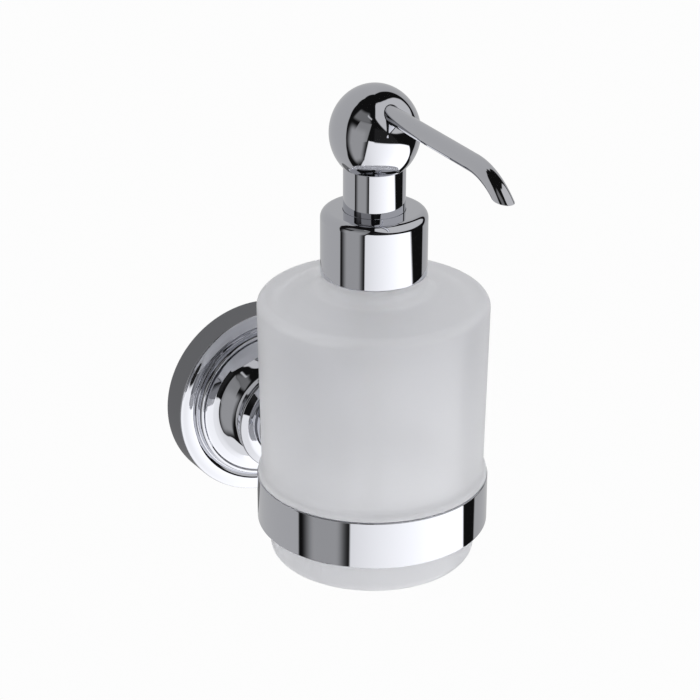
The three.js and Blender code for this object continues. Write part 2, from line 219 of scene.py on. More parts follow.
def turned_mesh(name, surface, sides, bump=None):
    """The turned surface as a mesh in local metres; bump(angle, r, z) moves a point outward."""
    rings = []
    for r, z in surface.points:
        if r == 0:
            rings.append([(0, 0, z)])
            continue
        ring = []
        for i in range(sides):
            a = 2 * math.pi * i / sides
            out = r + (bump(a, r, z) if bump else 0)
            ring.append((out * math.cos(a), out * math.sin(a), z))
        rings.append(ring)
    return grid_mesh(name, rings, surface.closed)


def cut(obj, *cutters):
    """Takes the cutters away from obj, and deletes them."""
    for cutter in cutters:
        modifier = obj.modifiers.new("cut", "BOOLEAN")
        modifier.operation = "DIFFERENCE"
        modifier.solver = "EXACT"
        modifier.object = cutter
    bpy.context.view_layer.update()
    shape = obj.evaluated_get(bpy.context.evaluated_depsgraph_get())
    mesh = bpy.data.meshes.new_from_object(shape)
    obj.modifiers.clear()
    obj.data = mesh
    for cutter in cutters:
        bpy.data.objects.remove(cutter)
    mesh.validate()


def shade(obj, surfaces, near=0.02 * MM):
    """Gives each face the true normals of the turned surface that it lies on."""
    mesh = obj.data
    mesh.shade_smooth()
    mesh.set_sharp_from_angle(angle=math.radians(30))
    n_faces, n_loops = len(mesh.polygons), len(mesh.loops)
    place = np.array(obj.matrix_world)
    co = np.empty(len(mesh.vertices) * 3)
    mesh.vertices.foreach_get("co", co)
    co = co.reshape(-1, 3) @ place[:3, :3].T + place[:3, 3]
    loop_vert = np.empty(n_loops, int)
    mesh.loops.foreach_get("vertex_index", loop_vert)
    loop_face = np.repeat(np.arange(n_faces), [p.loop_total for p in mesh.polygons])
    centres = np.zeros((n_faces, 3))
    np.add.at(centres, loop_face, co[loop_vert])
    centres /= np.bincount(loop_face)[:, None]
    face_normal = np.empty(n_faces * 3)
    mesh.polygons.foreach_get("normal", face_normal)
    face_normal = face_normal.reshape(-1, 3) @ place[:3, :3].T
    normals = np.empty(n_loops * 3)
    mesh.corner_normals.foreach_get("vector", normals)
    normals = normals.reshape(-1, 3) @ place[:3, :3].T
    best = np.full(n_faces, near)
    for surface in surfaces:
        stretch, distance = surface.stretch(centres)
        found = surface.normals(co[loop_vert], stretch[loop_face], centres[loop_face])
        agree = np.zeros(n_faces)
        np.add.at(agree, loop_face, (found * face_normal[loop_face]).sum(axis=1))
        fits = (distance < best) & (agree / np.bincount(loop_face) > 0.7)
        normals[fits[loop_face]] = found[fits[loop_face]]
        best[fits] = distance[fits]
    mesh.normals_split_custom_set((normals @ place[:3, :3]).tolist())


def finish_piece(obj, node, body, slot):
    """Gives the piece its slot's material, and puts it in the node's place on its body."""
    obj.data.materials.clear()
    obj.data.materials.append(MATERIALS[slot])
    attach(obj, body)
    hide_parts(node)


def turned_piece(node, points, place, sides=SIDES, tools=(), bump=None):
    """A node's fine shape, with the turned tools cut out of it, and true normals."""
    surface = Turned(rounded(points), place)
    obj = new_object(node + "_fine", turned_mesh(node + "_fine", surface, sides, bump), place)
    surfaces = [surface]
    cutters = []
    for k, (tool_points, tool_place, tool_sides) in enumerate(tools):
        tool = Turned(tool_points, tool_place, inward=True)
        cutters.append(new_object(f"tool_{k}", turned_mesh("tool", tool, tool_sides), tool_place))
        if tool_sides > 6:      # a square or hexagon bar has flat sides
            surfaces.append(tool)
    if cutters:
        cut(obj, *cutters)
    shade(obj, surfaces)
    return obj


def bar(r, low, high):
    return [(0, low), (r, low), (r, high), (0, high)]


# ---------------------------------------------------------------- materials


def shader(name, colour, **settings):
    """A material with one Principled shader; returns its node tree and shader node."""
    material = bpy.data.materials.new(name)
    material.use_nodes = True
    tree = material.node_tree
    main = tree.nodes["Principled BSDF"]
    main.inputs["Base Color"].default_value = (*colour, 1)
    for key, value in settings.items():
        main.inputs[key.replace("_", " ")].default_value = value
    return material, tree, main


def noise(tree, scale, detail=3.0, stretch=(1, 1, 1)):
    """A noise value over the piece, scale being its cells per metre."""
    place = tree.nodes.new("ShaderNodeTexCoord")
    mapping = tree.nodes.new("ShaderNodeMapping")
    mapping.inputs["Scale"].default_value = [scale * s for s in stretch]
    texture = tree.nodes.new("ShaderNodeTexNoise")
    texture.inputs["Scale"].default_value = 1.0
    texture.inputs["Detail"].default_value = detail
    tree.links.new(place.outputs["Object"], mapping.inputs["Vector"])
    tree.links.new(mapping.outputs["Vector"], texture.inputs["Vector"])
    return texture.outputs["Fac"]


def ranged(tree, value, low, high, start=0.3, end=0.7):
    """The value from start to end spread over low to high."""
    node = tree.nodes.new("ShaderNodeMapRange")
    for key, number in (("From Min", start), ("From Max", end), ("To Min", low), ("To Max", high)):
        node.inputs[key].default_value = number
    tree.links.new(value, node.inputs["Value"])
    return node.outputs["Result"]


def mixed(tree, factor, a, b):
    node = tree.nodes.new("ShaderNodeMix")
    tree.links.new(factor, node.inputs["Factor"])
    for key, value in (("A", a), ("B", b)):
        if isinstance(value, float):
            node.inputs[key].default_value = value
        else:
            tree.links.new(value, node.inputs[key])
    return node.outputs["Result"]


def tinted(tree, value, dark, light):
    """A colour between dark and light, each a colour or another node's output."""
    mix = tree.nodes.new("ShaderNodeMix")
    mix.data_type = "RGBA"
    for key, colour in (("A", dark), ("B", light)):
        if isinstance(colour, tuple):
            mix.inputs[key].default_value = (*colour, 1)
        else:
            tree.links.new(colour, mix.inputs[key])
    tree.links.new(value, mix.inputs["Factor"])
    return mix.outputs["Result"]


def bumped(tree, main, height, distance, strength=1.0):
    node = tree.nodes.new("ShaderNodeBump")
    node.inputs["Distance"].default_value = distance
    node.inputs["Strength"].default_value = strength
    tree.links.new(height, node.inputs["Height"])
    tree.links.new(node.outputs["Normal"], main.inputs["Normal"])


def chrome():
    """Polished chrome plate, with the faint waviness and haze of a plated casting."""
    material, tree, main = shader("chrome_plate", (0.60, 0.607, 0.645), Metallic=1.0)
    haze = ranged(tree, noise(tree, 90, 4), 0.012, 0.03)
    tree.links.new(haze, main.inputs["Roughness"])
    tint = tinted(tree, noise(tree, 35, 2), (0.59, 0.60, 0.64), (0.61, 0.615, 0.65))
    tree.links.new(tint, main.inputs["Base Color"])
    bumped(tree, main, noise(tree, 140, 1), 0.000004, 0.35)
    return material


def satin_glass():
    """Thick glass, acid-etched outside and smooth inside, with painted shade that darkens its colour up to
    the shoulder.
    """
    material, tree, main = shader("satin_glass", (0.95, 0.955, 0.985), Roughness=0.34, IOR=1.5)
    main.inputs["Transmission Weight"].default_value = 0.6
    grain = noise(tree, 2600, 2)
    etched = tree.nodes.new("ShaderNodeAttribute")
    etched.attribute_name = "etched"
    skin = ranged(tree, grain, 0.30, 0.38)
    tree.links.new(mixed(tree, etched.outputs["Fac"], 0.04, skin), main.inputs["Roughness"])
    tint = tinted(tree, noise(tree, 60, 3), (0.95, 0.955, 0.985), (0.97, 0.975, 1.0))
    place = tree.nodes.new("ShaderNodeTexCoord")
    height = tree.nodes.new("ShaderNodeSeparateXYZ")
    tree.links.new(place.outputs["Object"], height.inputs["Vector"])
    # Painted shade: the base colour darkens towards (0.83, 0.835, 0.865) from low on the body up to the
    # shoulder, and the shoulder's top is left out.
    painted_shade_rise = ranged(tree, height.outputs["Z"], 0.0, 1.0, 0.02, 0.058)
    below_shoulder = ranged(tree, height.outputs["Z"], 1.0, 0.0, 0.0625, 0.0655)
    painted_shade = mixed(tree, below_shoulder, 0.0, painted_shade_rise)
    tree.links.new(tinted(tree, painted_shade, tint, (0.83, 0.835, 0.865)), main.inputs["Base Color"])
    bumped(tree, main, grain, 0.00003, 0.3)
    return material


def steel():
    """Bright zinc-plated steel, with turning marks."""
    material, tree, main = shader("plated_steel", (0.55, 0.56, 0.57), Metallic=1.0)
    marks = noise(tree, 900, 3, (0.4, 0.4, 3))
    tree.links.new(ranged(tree, marks, 0.24, 0.42), main.inputs["Roughness"])
    tint = tinted(tree, noise(tree, 260, 3), (0.47, 0.48, 0.50), (0.62, 0.63, 0.63))
    tree.links.new(tint, main.inputs["Base Color"])
    bumped(tree, main, marks, 0.00002, 0.35)
    return material


def white_plastic():
    """Moulded polypropylene, slightly cloudy."""
    material, tree, main = shader("white_plastic", (0.82, 0.82, 0.80), Roughness=0.38)
    main.inputs["Subsurface Weight"].default_value = 0.2
    main.inputs["Subsurface Scale"].default_value = 0.002
    tree.links.new(ranged(tree, noise(tree, 700, 3), 0.32, 0.46), main.inputs["Roughness"])
    tint = tinted(tree, noise(tree, 120, 2), (0.79, 0.79, 0.77), (0.85, 0.85, 0.83))
    tree.links.new(tint, main.inputs["Base Color"])
    bumped(tree, main, noise(tree, 3000, 2), 0.00001, 0.25)
    return material


def clear_plastic():
    """Translucent polyethylene tube."""
    material, tree, main = shader("clear_plastic", (0.84, 0.86, 0.86), Roughness=0.3, IOR=1.5)
    main.inputs["Transmission Weight"].default_value = 0.7
    tree.links.new(ranged(tree, noise(tree, 500, 3, (1, 1, 0.1)), 0.24, 0.38), main.inputs["Roughness"])
    return material


def rubber():
    """Matt black sealing rubber."""
    material, tree, main = shader("seal_rubber", (0.03, 0.03, 0.03))
    speck = noise(tree, 2200, 4)
    tree.links.new(ranged(tree, speck, 0.65, 0.85), main.inputs["Roughness"])
    tree.links.new(tinted(tree, speck, (0.02, 0.02, 0.02), (0.05, 0.05, 0.05)), main.inputs["Base Color"])
    bumped(tree, main, speck, 0.00003, 0.4)
    return material


MATERIALS = {
    "chrome": chrome(),
    "satin_glass": satin_glass(),
    "steel": steel(),
    "white_plastic": white_plastic(),
    "clear_plastic": clear_plastic(),
    "seal": rubber(),
}

# ---------------------------------------------------------------- wall side


def grub_hole():
    """The radial hole for the grub screw, low on the rosette's rim."""
    return bar(2.2, 24.4, 34.8), ON_GRUB, 48


def rosette():
    """A rounded rim, a step, and a hollow cove up to the neck under the post."""
    outside = [
        (32.4, 0, 0.2), (32.0, 9.6, 0.7),
        *smooth([(31.2, 9.75), (29.5, 10.3), (27.8, 10.4), (26.6, 10.0)]),
        (26.2, 9.7, 0.1), (25.9, 9.7, 0.1),
        *smooth([(25.7, 11.0), (25.3, 11.7), (24.6, 11.9), (24.0, 11.65), (23.4, 11.7)]),
        *smooth([(21.5, 12.2), (19.8, 13.2), (18.3, 14.6), (16.9, 16.2), (15.9, 18), (15.5, 19.2)]),
        (15.3, 20.2, 0.8), (15.3, 24, 0.1),
    ]
    inside = [
        (6.2, 24), (6.2, 22.4), (13.6, 22.1), (13.9, 18.6), (14.4, 17.2), (15.6, 15.1), (17.25, 13.25),
        (18.95, 11.75), (21, 10.6), (23.15, 10.05), (24.6, 8.2), (30.7, 7.9), (30.7, 0),
    ]
    obj = turned_piece("rosette", [*outside, *inside], ON_WALL, tools=[grub_hole()])
    finish_piece(obj, "rosette", "wall_bracket", "chrome")


def post():
    """A spigot, a flange and a bead, a waisted arm, and an end hollowed to sit against the ring."""
    hole_end = AXIS_OUT - RING_R - RING_SCREW_LENGTH + 2
    body = [
        (0, 37.5), (3.1, 37.5), (3.1, 22.1), (5.8, 22.1), (5.8, 24.3), (17.5, 24.3, 0.3), (18, 24.9, 0.5),
        (17.7, 25.6, 0.6), (15.8, 26.8, 0.5), (15.1, 27.1), (12.3, 27.1), (12.3, 28, 0.1), (12.9, 28.5, 0.4),
        (12.9, 29.9, 0.7), (12, 30.45, 0.3),
        *smooth([(10.4, 30.6), (9.2, 31.3), (8.2, 33.1), (7.3, 36), (7, 38.6), (7.4, 42), (8.5, 44.6),
                 (10.2, 46.8)]),
        (10.2, 50), (2.8, 50), (2.8, hole_end), (0, hole_end),
    ]
    saddle = (bar(RING_R + 0.3, -20, 20), ON_AXIS, 256)
    obj = turned_piece("post", body, ON_WALL, sides=128, tools=[saddle])
    finish_piece(obj, "post", "wall_bracket", "chrome")


# ---------------------------------------------------------------- ring


def holder_ring():
    """A flat band, with a countersunk hole for the screw into the post."""
    r, bore, sink, hole_r = RING_R, RING_BORE, 5.75, 2.8
    band = [(bore, -8.1, 0.3), (r, -8.1, 0.35), (r, 7.0, 0.3), (bore, 7.0, 0.3)]
    tool = [
        (0, bore - 2), (sink, bore - 2), (sink, bore), (hole_r, bore + sink - hole_r), (hole_r, r + 2),
        (0, r + 2),
    ]
    toward_wall = ON_AXIS @ Matrix.Rotation(math.radians(-90), 4, "X")
    obj = turned_piece("holder_ring", band, ON_AXIS, sides=256, tools=[(tool, toward_wall, 64)])
    finish_piece(obj, "holder_ring", "wall_bracket", "chrome")


# ---------------------------------------------------------------- bottle


def thread(core, height, half_width, start, pitch, turns):
    """A helical ridge on a plain round part of radius core: a bump for turned_mesh."""
    def ridge(angle, r, z):
        if abs(r / MM - core) > 0.01:
            return 0.0
        out = 0.0
        for turn in range(math.ceil(turns)):
            along = angle / (2 * math.pi) + turn
            off = abs(z / MM - start - pitch * along) / half_width
            if along < turns and off < 1:
                fade = min(1.0, along * 8, (turns - along) * 8)
                out = max(out, (1 - off ** 2) ** 0.5 * height * fade)
        return out * MM
    return ridge


def glass_bottle():
    """A flange above the base rests on the ring; close rings of points on the neck carry the thread."""
    neck = [(12.6, 73.4 + 0.22 * i) for i in range(57)]
    outside = [
        (0, -18.1), (22, -18.1, 1.5), (25.2, -19.2, 1.5), (31.5, -19.2, 5),
        (31.5, 7.05, 0.4), (35.25, 7.05, 0.35),
        *smooth([(35.2, 8.0), (34.95, 8.8), (34.5, 9.5), (34.22, 10.4), (34.1, 11.5)], 8),
        (35.1, 65.3, 3.2),
        *smooth([(28, 66.0), (20, 67.5), (17.6, 68.7), (16.2, 70.1), (15.6, 71.6)]),
        (15.6, 73.05, 0.15), (12.6, 73.05, 0.2), *neck, (12.6, 86.8, 0.5),
    ]
    inside = [
        (10.6, 86.8, 0.4), (10.6, 71, 1), (12.4, 67.4, 2), (17, 64.4, 3), (27, 61.7, 3), (30.2, 60.3, 1.5),
        (31.2, 56.9, 2), (30.3, 2, 3), (29, -5, 3), (26, -9.8, 3), (21.5, -12, 2), (0, -12),
    ]
    ridge = thread(core=12.6, height=0.9, half_width=1.05, start=76.5, pitch=4.23, turns=1.5)
    obj = turned_piece("glass_bottle", [*outside, *inside], ON_AXIS, bump=ridge)
    # The inside's rings of points come last, and end in a single point.
    smooth_rings = sum(FILLET_STEPS + 1 if len(corner) > 2 else 1 for corner in inside)
    etched = np.ones(len(obj.data.vertices))
    etched[-(smooth_rings - 1) * SIDES - 1:] = 0
    obj.data.attributes.new("etched", "FLOAT", "POINT").data.foreach_set("value", etched)
    finish_piece(obj, "glass_bottle", "bottle", "satin_glass")


# ---------------------------------------------------------------- closure


def collar():
    r, top, hole = 16, 93.1, 9.32
    shape = [
        (r - 0.9, 73.2, 0.1), (r, 73.2, 0.2), (r, top, 2.6), (hole, top, 0.15), (hole, top - 1.3),
        (r - 2.3, top - 1.3), (r - 0.9, top - 2.7),
    ]
    obj = turned_piece("collar", shape, ON_AXIS)
    finish_piece(obj, "collar", "closure", "chrome")


# ---------------------------------------------------------------- head


def neck_sleeve():
    shape = [(8.3, 92.6, 0.1), (9.25, 92.6, 0.4), (9.25, 106.4, 0.2), (3.4, 106.4, 0.1), (3.4, 105.2),
             (8.3, 105.2)]
    obj = turned_piece("neck_sleeve", shape, ON_AXIS)
    finish_piece(obj, "neck_sleeve", "head", "chrome")


BALL = {"r": 13.45, "half_height": 14.45, "z": 116.7, "flat": 106.45, "bore": 3.4, "bore_top": 123}
SPOUT = {"r": 2.6, "bore": 1.8, "z": 124.95, "start": 3, "straight_end": 55.5, "bend_r": 25,
         "bend": math.radians(41), "tail": 4, "tip": 119.1, "socket": 2.75}


def ball_head():
    r, z, bore = BALL["r"], BALL["z"], BALL["bore"]
    start = -math.degrees(math.asin((z - BALL["flat"]) / BALL["half_height"]))
    shape = [(0, BALL["bore_top"]), (bore, BALL["bore_top"]), (bore, BALL["flat"]),
             *arc_oval(r, BALL["half_height"], z, start, 96)]
    out = ON_AXIS @ Matrix.Translation((0, 0, SPOUT["z"] * MM)) @ Matrix.Rotation(math.radians(90), 4, "X")
    tool = (bar(SPOUT["socket"], -1.5, r + 3), out, 96)
    obj = turned_piece("ball_head", shape, ON_AXIS, sides=192, tools=[tool])
    finish_piece(obj, "ball_head", "head", "chrome")


def spout_point(r, s, turn):
    """A point of the tube's wall, s along its centre line and turned round it, and its normal."""
    straight = SPOUT["straight_end"] - SPOUT["start"]
    bend_r, bend = SPOUT["bend_r"], SPOUT["bend"]
    angle = min(max((s - straight) / bend_r, 0.0), bend)
    tail = max(s - straight - bend_r * bend, 0.0)
    out = SPOUT["start"] + min(s, straight) + bend_r * math.sin(angle) + tail * math.cos(bend)
    drop = bend_r * (1 - math.cos(angle)) + tail * math.sin(bend)
    side, up = math.cos(turn), math.sin(turn)
    normal = Vector((side, -up * math.sin(angle), up * math.cos(angle)))
    return Vector((0, -out, SPOUT["z"] - drop)) + normal * r, normal


def spout_reach(r, turn, z):
    """How far along the centre line the wall has come down to height z."""
    low = SPOUT["straight_end"] - SPOUT["start"]
    high = low + SPOUT["bend_r"] * SPOUT["bend"] + SPOUT["tail"]
    for _ in range(30):
        middle = (low + high) / 2
        if spout_point(r, middle, turn)[0].z > z:
            low = middle
        else:
            high = middle
    return high


def spout_tube():
    """A tube straight out from the ball, bent down once, with its mouth cut level."""
    sides, steps, edge = 96, 90, 0.18
    turns = [2 * math.pi * i / sides for i in range(sides)]
    walls = []
    for r, inset in ((SPOUT["r"], 1), (SPOUT["bore"], -1)):
        wall = []
        for low, shrink, first in ((edge, 0, 0), (0.4 * edge, 0.25 * edge, steps), (0, edge, steps)):
            radius = r - inset * shrink
            reach = [spout_reach(radius, turn, SPOUT["tip"] + low) for turn in turns]
            for step in range(first, steps + 1):
                part = step / steps
                wall.append([spout_point(radius, s * part, turn) for s, turn in zip(reach, turns)])
        walls.append(wall)
    outer, inner = walls
    loops = [[point * MM for point, _ in ring] for ring in outer + inner[::-1]]
    mesh = grid_mesh("spout_tube_fine", loops, closed=True)
    obj = new_object("spout_tube_fine", mesh, ON_AXIS)
    mesh.shade_smooth()
    mesh.set_sharp_from_angle(angle=math.radians(30))
    normals = np.empty(len(mesh.loops) * 3)
    mesh.corner_normals.foreach_get("vector", normals)
    normals = normals.reshape(-1, 3)
    true = [n for ring in outer for _, n in ring] + [-n for ring in inner[::-1] for _, n in ring]
    last = (steps + 1) * sides
    first_inner = len(true) - last
    for polygon in mesh.polygons:
        corners = [mesh.loops[k].vertex_index for k in polygon.loop_indices]
        if max(corners) < last or min(corners) >= first_inner:
            if max(corners) - min(corners) < 2 * sides:
                for k, v in zip(polygon.loop_indices, corners):
                    normals[k] = true[v]
    mesh.normals_split_custom_set(normals.tolist())
    finish_piece(obj, "spout_tube", "head", "chrome")


# ---------------------------------------------------------------- screws and pump pieces


def screw_slots(depth_from, depth_to, width, length, place):
    """The two arms of a cross recess, as square bars stretched to shape."""
    arms = []
    for x, y in ((width, length), (length, width)):
        stretch = Matrix.Diagonal((x, y, 1, 1)) @ Matrix.Rotation(math.radians(45), 4, "Z")
        arms.append((bar(0.5 ** 0.5, depth_from, depth_to), place @ stretch, 4))
    return arms


def on_screw(side):
    """The place of a wall screw: side is 1 for the upper one and -1 for the lower one."""
    return ON_WALL @ Matrix.Translation((0, side * SCREW_SPACING / 2 * MM, 0))


def wall_plate():
    holes = [(bar(2.4, -1, 4), on_screw(side), 48) for side in (-1, 1)]
    shape = [(0, 0), (29.6, 0, 0.4), (29.6, 6.8, 0.5), (27, 6.8, 0.5), (27, 3, 0.8), (0, 3)]
    obj = turned_piece("wall_plate", shape, ON_WALL, tools=[*holes, grub_hole()])
    finish_piece(obj, "wall_plate", "wall_bracket", "steel")


def wall_screw(node, side):
    place = on_screw(side)
    core = [(1.5, -15.8 + 0.15 * i) for i in range(113)]
    shape = [(0, -17.9), (0.5, -17.3), *core, (2.0, 1.5), (2.0, 3.3), (4.2, 3.3, 0.2), (4.2, 4.7, 0.9),
             (2.6, 5.85, 1.5), (0, 5.98)]
    ridge = thread(core=1.5, height=0.48, half_width=0.42, start=-15.4, pitch=1.5, turns=10.5)
    slots = screw_slots(4.6, 7, 0.9, 4.4, place)
    obj = turned_piece(node, shape, place, sides=HIDDEN_SIDES, tools=slots, bump=ridge)
    finish_piece(obj, node, "wall_bracket", "steel")


def screw(node, place, shape, socket_r, socket_from, socket_to, ridge):
    """A screw with a hexagon socket."""
    tools = [(bar(socket_r, socket_from, socket_to), place, 6)]
    obj = turned_piece(node, shape, place, sides=HIDDEN_SIDES, tools=tools, bump=ridge)
    finish_piece(obj, node, "wall_bracket", "steel")


def threaded(r, low, high, pitch):
    """A threaded stretch of a screw: its outline points and its ridge."""
    core, row = r - 0.5 * pitch, 0.12
    points = [(core, low + row * i) for i in range(math.floor((high - low) / row) + 1)]
    ridge = thread(core=core, height=0.5 * pitch, half_width=0.45 * pitch, start=low + 0.4 * pitch,
                   pitch=pitch, turns=(high - low) / pitch - 0.9)
    return points, ridge


def rosette_grub_screw():
    core, ridge = threaded(1.9, 27.9, 31.3, 0.7)
    shape = [(0, 27.4), (1.2, 27.4), *core, (1.55, 31.8, 0.1), (0, 31.8)]
    screw("rosette_grub_screw", ON_GRUB, shape, 1.1, 30.0, 33, ridge)


def post_screw():
    core, ridge = threaded(2.8, 22, 35.2, 0.8)
    shape = [(0, 16.8), (5, 16.8, 0.5), (5, 20.4, 0.2), (2.8, 20.4), (2.8, 21.6), *core, (2.0, 36), (0, 36)]
    screw("post_screw", ON_WALL, shape, 2.3, 15, 19.2, ridge)


def ring_screw():
    end, face = AXIS_OUT - RING_R - RING_SCREW_LENGTH + 3, AXIS_OUT - RING_BORE - 0.5
    core, ridge = threaded(2.4, end + 0.5, end + 4.2, 0.7)
    shape = [(0, end), (1.6, end), *core, (2.4, end + 4.5), (2.4, face - 2.3), (4.7, face - 0.1), (4.7, face),
             (0, face)]
    screw("ring_screw", ON_WALL, shape, 1.5, face - 1.6, face + 1, ridge)


# Plain turned pieces: node, body, slot, place, outline.
PLAIN = [
    ("post_washer", "wall_bracket", "steel", ON_WALL,
     [(3.2, 20.7, 0.2), (9, 20.7, 0.3), (9, 22.1, 0.3), (3.2, 22.1, 0.2)]),
    ("collar_insert", "closure", "white_plastic", ON_AXIS,
     [(13.85, 73.4, 0.2), (14.6, 73.4, 0.2), (14.6, 89.9), (13.3, 91.5), (9.8, 91.5), (9.8, 90.1),
      (13.85, 90.1, 0.3)]),
    ("neck_gasket", "pump", "seal", ON_AXIS,
     [(10.7, 87.1, 0.15), (12.5, 87.1, 0.25), (12.5, 88.1, 0.25), (10.7, 88.1, 0.15)]),
    ("pump_housing", "pump", "white_plastic", ON_AXIS,
     [(2.7, 30, 0.2), (3.9, 30, 0.3), (3.9, 38.4, 0.8), (7.2, 43, 1.5), (7.2, 79.2, 0.4), (9.5, 79.2, 0.5),
      (10.3, 80.2, 0.5), (10.3, 88.4, 0.2), (12.4, 88.4, 0.2), (12.4, 89.8, 0.3), (9.75, 89.8, 0.2),
      (9.75, 80.8, 0.3), (9.15, 80.2, 0.2), (6, 80.2, 0.1), (6, 45.6, 0.6), (2.1, 43.6, 0.3), (2.1, 40.9),
      (1, 39.6), (1, 38.4), (2.7, 38.4)]),
    ("stem_guide", "pump", "white_plastic", ON_AXIS,
     [(2.95, 75, 0.1), (5.65, 75, 0.4), (5.65, 80.5, 0.1), (8.6, 80.5, 0.2), (8.6, 82, 0.5),
      (2.95, 82, 0.2)]),
    ("dip_tube", "pump", "clear_plastic", ON_AXIS,
     [(1.5, -10.8, 0.1), (2.3, -10.8, 0.2), (2.3, 37.9, 0.2), (1.5, 37.9, 0.1)]),
    ("inlet_ball", "valve", "steel", ON_AXIS, arc(0, 41.2, 1.55, -90, 90, 24)),
    ("piston", "plunger", "white_plastic", ON_AXIS,
     [(2.9, 63.3, 0.2), (5.2, 63.3, 0.2), (5.7, 63.9, 0.3), (5.7, 64.9, 0.4), (4.6, 65.6, 0.5),
      (4.6, 66.7, 0.5), (5.7, 67.4, 0.4), (5.7, 68.5, 0.3), (5.2, 69, 0.2), (2.9, 69, 0.2)]),
    ("piston_stem", "plunger", "white_plastic", ON_AXIS,
     [(1.5, 61.9, 0.1), (4.4, 61.9, 0.3), (4.4, 63, 0.3), (2.6, 63, 0.2), (2.6, 102, 0.3), (1.5, 102, 0.1)]),
    ("head_insert", "head", "white_plastic", ON_AXIS,
     [(2.9, 97, 0.2), (8, 97, 0.5), (8, 104.8, 0.4), (3, 104.8, 0.3), (3, 117, 0.3), (1.5, 117, 0.1),
      (1.5, 102.5), (2.9, 102.5)]),
]

for build in (rosette, post, holder_ring, glass_bottle, collar, neck_sleeve, ball_head, spout_tube,
              wall_plate, rosette_grub_screw, post_screw, ring_screw):
    build()
for node, side in (("wall_screw_upper", 1), ("wall_screw_lower", -1)):
    wall_screw(node, side)
for node, body, slot, place, shape in PLAIN:
    finish_piece(turned_piece(node, shape, place, sides=96), node, body, slot)

# The spring stays the frame's own mesh, which squashes in the pump's travel.
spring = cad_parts["pump_spring"].data
spring.materials.clear()
spring.materials.append(MATERIALS["steel"])

# ---------------------------------------------------------------- studio

VIEW = {"azimuth": -28.13, "elevation": 24.09, "roll": 0.19, "distance": 0.749, "lens": 124.3,
        "right": -0.00701, "up": 0.0433}
FLOOR_Z = -0.36


def aim_camera():
    az, el = math.radians(VIEW["azimuth"]), math.radians(VIEW["elevation"])
    right = Vector((math.cos(az), math.sin(az), 0))
    back = Vector((math.sin(az) * math.cos(el), -math.cos(az) * math.cos(el), math.sin(el)))
    up = back.cross(right)
    data = bpy.data.cameras.new("camera")
    data.lens = VIEW["lens"]
    data.sensor_width = 36
    data.clip_start, data.clip_end = 0.01, 50
    camera = bpy.data.objects.new("camera", data)
    target = Vector((0, AXIS_Y, 0)) + right * VIEW["right"] + up * VIEW["up"]
    turn = Matrix((right, up, back)).transposed() @ Matrix.Rotation(math.radians(VIEW["roll"]), 3, "Z")
    camera.matrix_world = Matrix.Translation(target + back * VIEW["distance"]) @ turn.to_4x4()
    bpy.context.scene.collection.objects.link(camera)
    bpy.context.scene.camera = camera


def glowing(name, light):
    """A plain surface that gives out an even light."""
    material = bpy.data.materials.new(name)
    material.use_nodes = True
    nodes, links = material.node_tree.nodes, material.node_tree.links
    nodes.remove(nodes["Principled BSDF"])
    glow = nodes.new("ShaderNodeEmission")
    glow.inputs["Color"].default_value = (light, light, light, 1)
    links.new(glow.outputs["Emission"], nodes["Material Output"].inputs["Surface"])
    return material


def card():
    """A dark round card on the wall plane, open behind the rosette, that only reflections show."""
    n = 60
    circles = [arc(0, 0, r, 0, 360 - 360 / n, n - 1) for r in (32.45, 46)]
    edges = [(x * MM, 0.1 * MM, z * MM) for circle in circles for x, z in circle]
    mesh = bpy.data.meshes.new("card")
    mesh.from_pydata(edges, [], [(i, (i + 1) % n, (i + 1) % n + n, i + n) for i in range(n)])
    obj = new_object("card", mesh)
    mesh.materials.append(glowing("card", 0.19))
    obj.visible_camera = obj.visible_diffuse = obj.visible_transmission = obj.visible_shadow = False


def floor():
    """A plain pale floor with an even light of its own, seen by the camera alone."""
    mesh = bpy.data.meshes.new("floor")
    half = 6.0
    corners = [(half * x, half * y, FLOOR_Z) for x, y in ((-1, -1), (1, -1), (1, 1), (-1, 1))]
    mesh.from_pydata(corners, [], [(0, 1, 2, 3)])
    obj = new_object("floor", mesh)
    mesh.materials.append(glowing("floor", WHITE))
    obj.visible_glossy = obj.visible_diffuse = obj.visible_transmission = obj.visible_shadow = False


